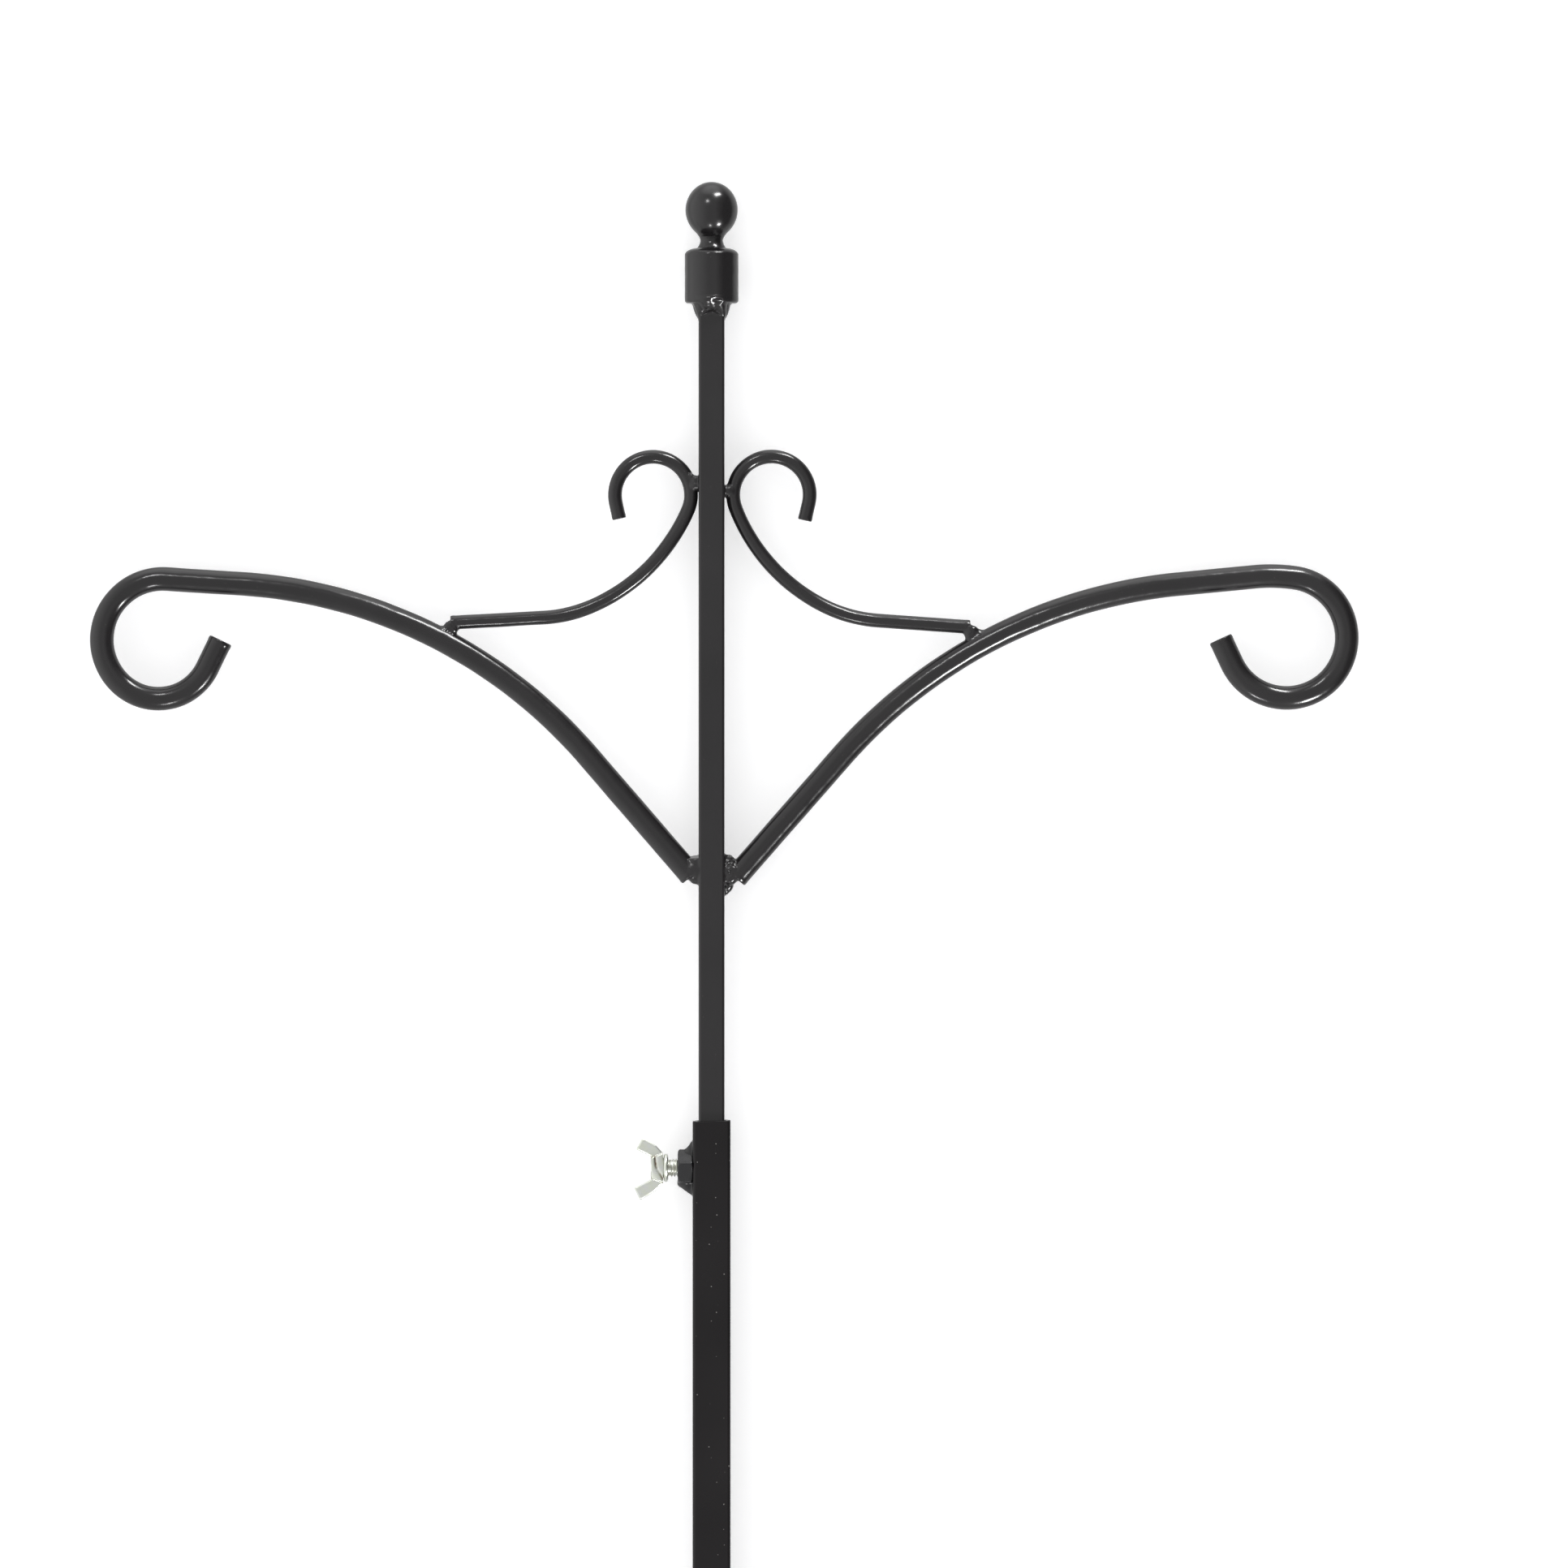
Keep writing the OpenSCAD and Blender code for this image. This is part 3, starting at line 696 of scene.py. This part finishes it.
def makeCollar(look):   # its top is a low dome, its bottom edge is rounded
    r, h, bottom = look["collarR"], look["collarH"], look["bottomR"]
    z0 = collarTop - h
    outline = [(r * 0.5, z0), (r - bottom - 0.6, z0)]
    outline += arcPoints(r - bottom, z0 + bottom, bottom, -90, 0, 8)
    wall = np.linspace(z0 + bottom, collarTop - look["domeH"], 14)[1:-1]
    outline += [(r + 0.03 * math.sin(0.9 * z), z) for z in wall]
    for turn in np.linspace(0, math.pi / 2, 16):
        drop = 0.12 * math.cos(turn) + 0.88 * (1 - math.sin(turn))
        outline.append((r - look["domeW"] * (1 - math.cos(turn)), collarTop - look["domeH"] * drop))
    return lathePiece("finial_collar_turned", outline, mastCoat, "mast",
                      ["finial_collar"], look["sides"])


def makeBall(look):   # a slightly tall ball on a waisted neck, run together as one turning
    r, tall, lift = look["ballR"], look["ballTall"], look["ballLift"]
    turned = np.radians(np.linspace(60, 179, 72))
    heights = np.concatenate([np.linspace(0.02, 12.1, 110), lift - tall * np.cos(turned)])
    ball = r * np.sqrt(np.clip(1 - ((heights - lift) / tall) ** 2, 0, None))
    above = heights - look["waistZ"]
    neck = look["waistR"] + np.where(above < 0, look["neckFlare"] * np.abs(above) ** 1.7,
                                     look["ballFlare"] * np.abs(above) ** 1.5)
    neck -= 0.12 * np.clip(heights - 8, 0, None) ** 2
    neck = neck - look["groove"] * np.exp(-((above - 1.8) / 0.25) ** 2)   # one fine turned line
    outline = np.where(heights < 10.5, smoothMax(ball, neck, 0.5), ball)
    return lathePiece("finial_ball_turned", list(zip(outline, collarTop + heights)), mastCoat, "mast",
                      ["finial_ball"], look["sides"])


makeCollar(finialLook)
makeBall(finialLook)


def collarField(x, y, z):
    r = np.hypot(x, y)
    soft = finialLook["bottomR"]
    return smoothMax(r - finialLook["collarR"], mastTop - z, 2 * soft)


skirtLook = dict(sideTop=3.5, sideFoot=7.7, frontTop=7.6, frontFoot=4.6,
                 lobes=4.5, lobeHeight=0.8, twist=0.05,
                 fillet=1.4, reach=1.6, bite=0.6, burnIn=2.2, cornerOut=7.4,
                 dish=(5.3, -22.9, -4.3), dishR=12)


def skirtField(x, y, z):   # a bead laid round in folds, long at the sides and short on the front and back
    look, drop = skirtLook, z - mastTop
    turn = np.arctan2(y, x)
    front = np.sin(turn) ** 4
    foot = -look["sideFoot"] + (look["sideFoot"] - look["frontFoot"]) * front
    out = look["sideTop"] + (look["frontTop"] - look["sideTop"]) * front
    rise = np.clip((drop - foot) / (look["burnIn"] - foot), 0, 1)
    folds = np.abs(np.sin(look["lobes"] * (turn + look["twist"] * drop) + 0.4)) ** 0.7 - 0.55
    square = np.hypot(x, y) * mastHalf / np.maximum(np.maximum(np.abs(x), np.abs(y)), 1e-6)
    square = smoothMin(square, 0 * x + look["cornerOut"], 1.0)
    reach = square + out * rise ** (0.65 - 0.15 * front)
    reach = reach + look["lobeHeight"] * folds * np.sin(math.pi * rise ** 0.7)
    field = (np.hypot(x, y) - reach) * 0.75
    return smoothMax(smoothMax(field, drop - 3.2, 1.5), foot - 0.4 - drop, 0.8)


def finialWeldField(x, y, z):
    nearest = np.minimum(mastField(x, y, z), collarField(x, y, z))
    skirt = skirtField(x, y, z)
    fade = np.clip(skirt / skirtLook["reach"], 0, 1) ** 2
    skin = meltInto(smoothMin(nearest, skirt, skirtLook["fillet"]), nearest, fade)
    dx, dy, dz = skirtLook["dish"]
    dish = skirtLook["dishR"] - np.sqrt((x - dx) ** 2 + (y - dy) ** 2 + (z - mastTop - dz) ** 2)
    skin = smoothMax(skin, dish, 0.3)
    skin = np.maximum(skin, skirt - skirtLook["reach"])
    return np.maximum(skin, -(nearest + skirtLook["bite"]))


points, faces = meshOfField(finialWeldField, (-15, -15.2, mastTop - 10), (15, 15.2, mastTop + 5.2), 0.36)
addPiece("finial_weld_bead", points, faces, "mast", mastCoat, ["finial_weld"])
print("finial made")


# The clamp is worked out across the tube's left face.
# There u runs outward from the face, and v is up from the screw's axis.
nutLook = dict(flats=17, height=7.5, turn=-16, boreR=4.85, edge=0.35, bevel=30,
               crownR=8.3, backR=8.9, seat=0.02)


def nutOutline(x, y, z):
    u, v = -tubeHalf - x, z - screwZ
    field = np.full(np.shape(x), -1e3)
    for side in range(6):
        a = math.radians(nutLook["turn"] + 30 + 60 * side)
        field = smoothMax(field, v * math.cos(a) + y * math.sin(a) - nutLook["flats"] / 2, nutLook["edge"])
    slope = math.radians(nutLook["bevel"])
    far = np.hypot(v, y)
    for face, r in ((u - nutLook["height"], nutLook["crownR"]), (nutLook["seat"] - u, nutLook["backR"])):
        field = smoothMax(field, (far - r) * math.sin(slope) + face * math.cos(slope), nutLook["edge"])
        field = smoothMax(field, face, nutLook["edge"])
    return field


def nutField(x, y, z):
    far = np.hypot(y, z - screwZ)
    return smoothMax(nutOutline(x, y, z), nutLook["boreR"] - far, 0.3)


half = nutLook["flats"] / 2 / math.cos(math.pi / 6) + 0.4
points, faces = meshOfField(nutField, (-tubeHalf - nutLook["height"] - 0.4, -half, screwZ - half),
                            (-tubeHalf + 0.4, half, screwZ + half), 0.26)
addPiece("clamp_nut_coated", points, faces, "base", fittingCoat, ["clamp_nut"])

nutWeldUpper = dict(
    joins=[tubeField, nutOutline], soft=1.6, fillet=2.0, reach=2.2, bite=0.4, ripple=0.03, ripplePitch=2.6,
    drops=[(-tubeHalf - 1.1, 0, screwZ + 9.2, 1.9, 3.6), (-tubeHalf - 0.1, 0, screwZ + 11.6, 1.3, 3.0)])
nutWeldLower = dict(
    joins=[tubeField, nutOutline], soft=2.2, fillet=2.2, reach=2.4, bite=0.4, ripple=0.04, ripplePitch=3,
    drops=[(-tubeHalf - 4.7, 0, screwZ - 7.6, 2.2, 1.6), (-tubeHalf - 2.4, 0, screwZ - 9.2, 2.5, 2.6),
           (-tubeHalf - 0.4, 0, screwZ - 11.3, 1.8, 2.8)])
makeBead("nut_weld_upper", nutWeldUpper, "base", fittingCoat, cell=0.3)
makeBead("nut_weld_lower", nutWeldLower, "base", fittingCoat, cell=0.3)


def stepField(x, y, z):
    return np.maximum(np.maximum(z - stepLook["thick"], -z), np.abs(y) - stepLook["width"] / 2)


for name, side in (("step_weld_left", -1), ("step_weld_right", 1)):
    drops = [(side * (tubeHalf + 1.5), y, stepLook["thick"] + 1.5, 1.9 + 0.15 * math.sin(2.3 * y), 0)
             for y in np.linspace(-5.6, 5.6, 8)]
    weld = dict(joins=[tubeField, stepField], soft=0.5, fillet=1.4, reach=1.6, bite=0.4, ripple=0.04,
                ripplePitch=2.4, drops=drops)
    makeBead(name, weld, "base", baseCoat, cell=0.34)
print("nut and step welds made")


threadLook = dict(pitch=1.5, crestR=4.55, rootR=3.85, bare=4.8, tipX=-6.55, pinR=3, pinL=5)


def addCrease(piece, values):   # where plating runs thin and brown
    layer = piece.data.attributes.new("crease", "FLOAT", "POINT")
    layer.data.foreach_set("value", np.asarray(values, np.float32))


def makeShank(look):   # a right-handed thread along -X, with a run-out under the head
    shoulder = tubeHalf + nutLook["height"] + look["bare"]
    length = shoulder + look["tipX"]
    perTurn, sides = 12, 60
    along = np.linspace(0, length, round(length / look["pitch"] * perTurn))
    theta = np.linspace(0, 2 * math.pi, sides, endpoint=False)
    at, around = np.meshgrid(along, theta, indexing="ij")
    phase = (at / look["pitch"] - around / (2 * math.pi)) % 1
    tooth = np.clip(1.55 - 5.2 * np.abs(phase - 0.5), 0, 1)
    tooth = tooth * tooth * (3 - 2 * tooth)
    depth = np.clip((length - 0.5 - at) / 1.2, 0, 1) * np.clip((at - 0.1) / 1.0, 0, 1)
    radius = look["rootR"] + (look["crestR"] - look["rootR"]) * tooth * depth
    radius -= 0.7 * np.clip(0.6 - at, 0, 1)
    radius += (look["crestR"] - 0.25 - radius) * np.clip((at - length + 0.5) / 0.4, 0, 1)
    radius = np.concatenate([radius, np.full((2, sides), look["pinR"])])
    reach = np.concatenate([along, [length, length + look["pinL"]]])
    x = look["tipX"] - reach[:, None] + 0 * theta
    rings = np.stack([x, radius * np.sin(theta), screwZ + radius * np.cos(theta)], -1)
    points = np.concatenate([rings.reshape(-1, 3), [(look["tipX"] + 0.2, 0, screwZ), (x[-1, 0], 0, screwZ)]])
    piece = addPiece("screw_shank_threaded", points, latheFaces(len(rings), sides), "screw",
                     zincPlate, ["screw_shank"])
    risen = (radius - look["rootR"]) / (look["crestR"] - look["rootR"])
    groove = np.concatenate([(1 - risen).ravel(), [0, 0]])
    addCrease(piece, 0.45 * np.clip(groove, 0, 1))
    return piece


makeShank(threadLook)

wingLook = dict(
    flangeR=7.2, flangeT=2.2, flangeEdge=0.75, hubU=6.3, hubV=7.2, hubW=4.3, wingT=2.5, groove=0.9,
    neckR=4.8, neckGap=0.36, boreDepth=3.1, depth=5.2, span=16.6, length=15.6,
    upper=[(0, 2), (0, 7), (3.8, 11.2), (9.9, 14.7), (11.1, 14.5), (13.9, 9.3), (6.4, 5.6), (6.4, 2)],
    lower=[(0, 2), (0, 7.4), (4.4, 11.8), (11.1, 16), (12.2, 15.9), (15, 10.2), (6.4, 5.8), (6.4, 2)])


def outlineField(outline, a, b):   # distance to a closed outline, negative inside
    nearest, inside = np.full(np.shape(a), 1e6), np.zeros(np.shape(a), bool)
    for (a0, b0), (a1, b1) in zip(outline, outline[1:] + outline[:1]):
        ea, eb = a1 - a0, b1 - b0
        t = np.clip(((a - a0) * ea + (b - b0) * eb) / (ea ** 2 + eb ** 2), 0, 1)
        nearest = np.minimum(nearest, np.hypot(a - a0 - t * ea, b - b0 - t * eb))
        if b0 != b1:
            crossed = ((b0 > b) != (b1 > b)) & (a < a0 + (b - b0) * ea / eb)
            inside ^= crossed
    return np.where(inside, -nearest, nearest)


headBase = tubeHalf + nutLook["height"] + threadLook["bare"]


def flangeField(x, y, z):
    u, far = -headBase - x, np.hypot(y, z - screwZ)
    edge = wingLook["flangeEdge"]
    half = wingLook["flangeT"] / 2
    field = smoothMax(far - wingLook["flangeR"], np.abs(u - half) - half, 2 * edge)
    return np.maximum(field, threadLook["pinR"] + 0.05 - far)


def headParts(x, y, z):
    look = wingLook
    u, v, w = -headBase - look["flangeT"] - x, z - screwZ, y
    wings = np.full(np.shape(x), 1e3)
    for side, outline in ((1, look["upper"]), (-1, look["lower"])):
        rim = outlineField(outline, u, side * v)
        bevel = np.clip(rim + 0.95, 0, 1) * 0.3
        plate = np.abs(w + 0.06 * v) - look["wingT"] / 2 + bevel   # the wings lean a little, one each way
        wings = np.minimum(wings, smoothMax(rim + 0.2, plate, 0.5) - 0.15)
    tall = v * np.where(w < 0, 1, -1)   # the fold runs the same way round on the back
    crease = smoothMin(4.0 + 0.05 * tall, 3.6 + 0.58 * tall, 0.8)
    slant = (u - crease) * 0.87
    front = look["hubW"] - look["groove"] * np.exp(-np.abs(slant) / 0.9) - 0.05 * slant ** 2
    hub = smoothMax(np.maximum(-u, u - look["hubU"]), (np.abs(v) + 0.33 * u - look["hubV"]) * 0.95, 0.8)
    hub = smoothMax(hub, np.abs(w) - front, 0.4)
    return wings, hub, slant


def headField(x, y, z):
    wings, hub, slant = headParts(x, y, z)
    u, far = -headBase - wingLook["flangeT"] - x, np.hypot(y, z - screwZ)
    neckOut = np.clip(far - wingLook["neckR"], 0, wingLook["neckGap"])   # a groove beside the flange
    field = np.maximum(smoothMin(wings, hub, 0.8), 0.02 + neckOut - u)
    bored = np.maximum(field, threadLook["pinR"] + 0.05 - far)
    return np.where(u < wingLook["boreDepth"], bored, field)


points, faces = meshOfField(flangeField, (-headBase - 2.5, -7.5, screwZ - 7.5),
                            (-headBase + 0.3, 7.5, screwZ + 7.5), 0.25)
flange = addPiece("wing_flange_pressed", points, faces, "wing", zincPlate, ["wing_flange"])
far = np.hypot(points[:, 1], points[:, 2] - screwZ)
addCrease(flange, 0.35 * np.clip((6.9 - far) / 3, 0, 1))

span, depth = wingLook["span"], wingLook["depth"]
farEnd = -headBase - wingLook["flangeT"] - wingLook["length"]
points, faces = meshOfField(headField, (farEnd, -depth, screwZ - span),
                            (-headBase - 1.9, depth, screwZ + span), 0.28)
head = addPiece("wing_head_cast", points, faces, "wing", zincPlate, ["wing_head"])
wings, hub, slant = headParts(*points.T)
corner = np.clip(1 - np.abs(wings - hub) / 0.9, 0, 1)
fold = np.clip(1.3 - np.abs(slant) / 0.6, 0, 1) * (np.abs(points[:, 2] - screwZ) < 6)
addCrease(head, np.clip(0.85 * corner + fold, 0, 1))
print("clamp screw made")


studio = dict(wallGap=17, wallHalf=3000, wallTop=4000, floorGap=4, floorHalf=40000,
              wallShade=(0.93, 0.93, 0.935), wallGlow=0.41, floorShade=(0.86, 0.86, 0.865), floorGlow=0.30,
              background=(1.0, 1.0, 1.0),
              front=0.86, left=1.7, right=0.16, above=2.4, behind=0.95)


def addSheet(name, corners, material):
    mesh = bpy.data.meshes.new(name)
    mesh.from_pydata([[v * toMetres for v in corner] for corner in corners], [], [(0, 1, 2, 3)])
    sheet = bpy.data.objects.new(name, mesh)
    scene.collection.objects.link(sheet)
    mesh.materials.append(material)
    return sheet


def paleMaterial(name, shade, glow, oneSided):
    material = bpy.data.materials.new(name)
    material.use_nodes = True
    tree = material.node_tree
    shader = tree.nodes["Principled BSDF"]
    shader.inputs["Base Color"].default_value = (*shade, 1)
    shader.inputs["Roughness"].default_value = 1
    shader.inputs["Specular IOR Level"].default_value = 0
    shader.inputs["Emission Color"].default_value = (1, 1, 1, 1)
    shader.inputs["Emission Strength"].default_value = glow
    if oneSided:   # seen only from the front, so it hides nothing from behind
        side = addNode(tree, "ShaderNodeNewGeometry", (-300, 300))
        clear = addNode(tree, "ShaderNodeBsdfTransparent", (0, 300))
        mix = addNode(tree, "ShaderNodeMixShader", (300, 200))
        tree.links.new(side.outputs["Backfacing"], mix.inputs["Fac"])
        tree.links.new(shader.outputs["BSDF"], mix.inputs[1])
        tree.links.new(clear.outputs["BSDF"], mix.inputs[2])
        tree.links.new(mix.outputs["Shader"], tree.nodes["Material Output"].inputs["Surface"])
    return material


floorZ = spikeTip - studio["floorGap"]
w, t, g = studio["wallHalf"], studio["wallTop"], studio["wallGap"]
wall = addSheet("backWall", [(-w, g, floorZ), (w, g, floorZ), (w, g, t), (-w, g, t)],
                paleMaterial("palePaper", studio["wallShade"], studio["wallGlow"], True))
wall.visible_glossy = False
wall.visible_diffuse = False
wall.visible_shadow = False
f = studio["floorHalf"]
floor = addSheet("paleFloor", [(-f, -f, floorZ), (f, -f, floorZ), (f, f, floorZ), (-f, f, floorZ)],
                 paleMaterial("paleGround", studio["floorShade"], studio["floorGlow"], False))
floor.visible_glossy = False


def makeWorld(look):
    world = bpy.data.worlds.new("studioRoom")
    scene.world = world
    world.use_nodes = True
    tree = world.node_tree
    tree.nodes.clear()
    out = addNode(tree, "ShaderNodeOutputWorld", (900, 0))
    way = addNode(tree, "ShaderNodeTexCoord", (-900, 0))
    split = addNode(tree, "ShaderNodeSeparateXYZ", (-700, 0))
    tree.links.new(way.outputs["Generated"], split.inputs[0])
    toLeft = addRange(tree, split.outputs["X"], -0.25, -0.95, look["front"], look["left"], (-450, 200))
    toRight = addRange(tree, split.outputs["X"], 0.3, 0.8, 0, look["right"] - look["front"], (-450, -50))
    sides = addMath(tree, "ADD", (toLeft, toRight), (-200, 100))
    back = addRange(tree, split.outputs["Y"], 0.15, 0.45, 0, 1, (-450, -300))
    room = addNode(tree, "ShaderNodeMix", (0, 0), data_type="FLOAT")
    tree.links.new(back, room.inputs["Factor"])
    tree.links.new(sides, room.inputs["A"])
    room.inputs["B"].default_value = look["behind"]
    overhead = addRange(tree, split.outputs["Z"], 0.82, 0.97, 0, look["above"] - look["front"], (0, -300))
    whole = addMath(tree, "ADD", (room.outputs["Result"], overhead), (150, -100))
    lit = addNode(tree, "ShaderNodeBackground", (300, 100))
    tree.links.new(whole, lit.inputs["Strength"])
    plain = addNode(tree, "ShaderNodeBackground", (300, -100))
    plain.inputs["Color"].default_value = (*look["background"], 1)
    path = addNode(tree, "ShaderNodeLightPath", (300, 400))
    mix = addNode(tree, "ShaderNodeMixShader", (600, 0))
    tree.links.new(path.outputs["Is Camera Ray"], mix.inputs["Fac"])
    tree.links.new(lit.outputs[0], mix.inputs[1])
    tree.links.new(plain.outputs[0], mix.inputs[2])
    tree.links.new(mix.outputs[0], out.inputs["Surface"])


makeWorld(studio)

lamps = dict(
    topSoft=dict(place=(550, -550, 2750), aim=(0, 0, 1350), size=(600, 220), power=16),
    lowRight=dict(place=(680, -500, 330), aim=(0, 0, 1300), size=(240, 200), power=9),
    lowMiddle=dict(place=(-150, -500, 320), aim=(0, 0, 1300), size=(160, 140), power=1.8),
    topLeft=dict(place=(-500, -1500, 2500), aim=(-100, 0, 1300), size=(300, 200), power=5))


def aimed(way):
    return Vector(way).to_track_quat("-Z", "Y").to_euler()


def addLamp(name, look):
    light = bpy.data.lights.new(name, "AREA")
    light.shape = "RECTANGLE"
    light.size, light.size_y = (v * toMetres for v in look["size"])
    light.energy = look["power"]
    lamp = bpy.data.objects.new(name, light)
    scene.collection.objects.link(lamp)
    place, aim = np.array(look["place"], float), np.array(look["aim"], float)
    lamp.location = place * toMetres
    lamp.rotation_euler = aimed(aim - place)
    lamp.visible_camera = False
    lamp.light_linking.receiver_collection = poleParts


for name, look in lamps.items():
    addLamp(name, look)

cameraLook = dict(aimX=36.35, aimZ=1188.7, distance=6000, frameWidth=787.3, sensor=36)


def addCamera(look):
    data = bpy.data.cameras.new("camera")
    data.sensor_width = look["sensor"]
    data.lens = look["sensor"] * look["distance"] / look["frameWidth"]
    data.clip_end = 200
    camera = bpy.data.objects.new("camera", data)
    scene.collection.objects.link(camera)
    camera.location = (look["aimX"] * toMetres, -look["distance"] * toMetres, look["aimZ"] * toMetres)
    camera.rotation_euler = (math.pi / 2, 0, 0)
    scene.camera = camera


addCamera(cameraLook)
scene.view_settings.view_transform = "Standard"
print("studio lit")
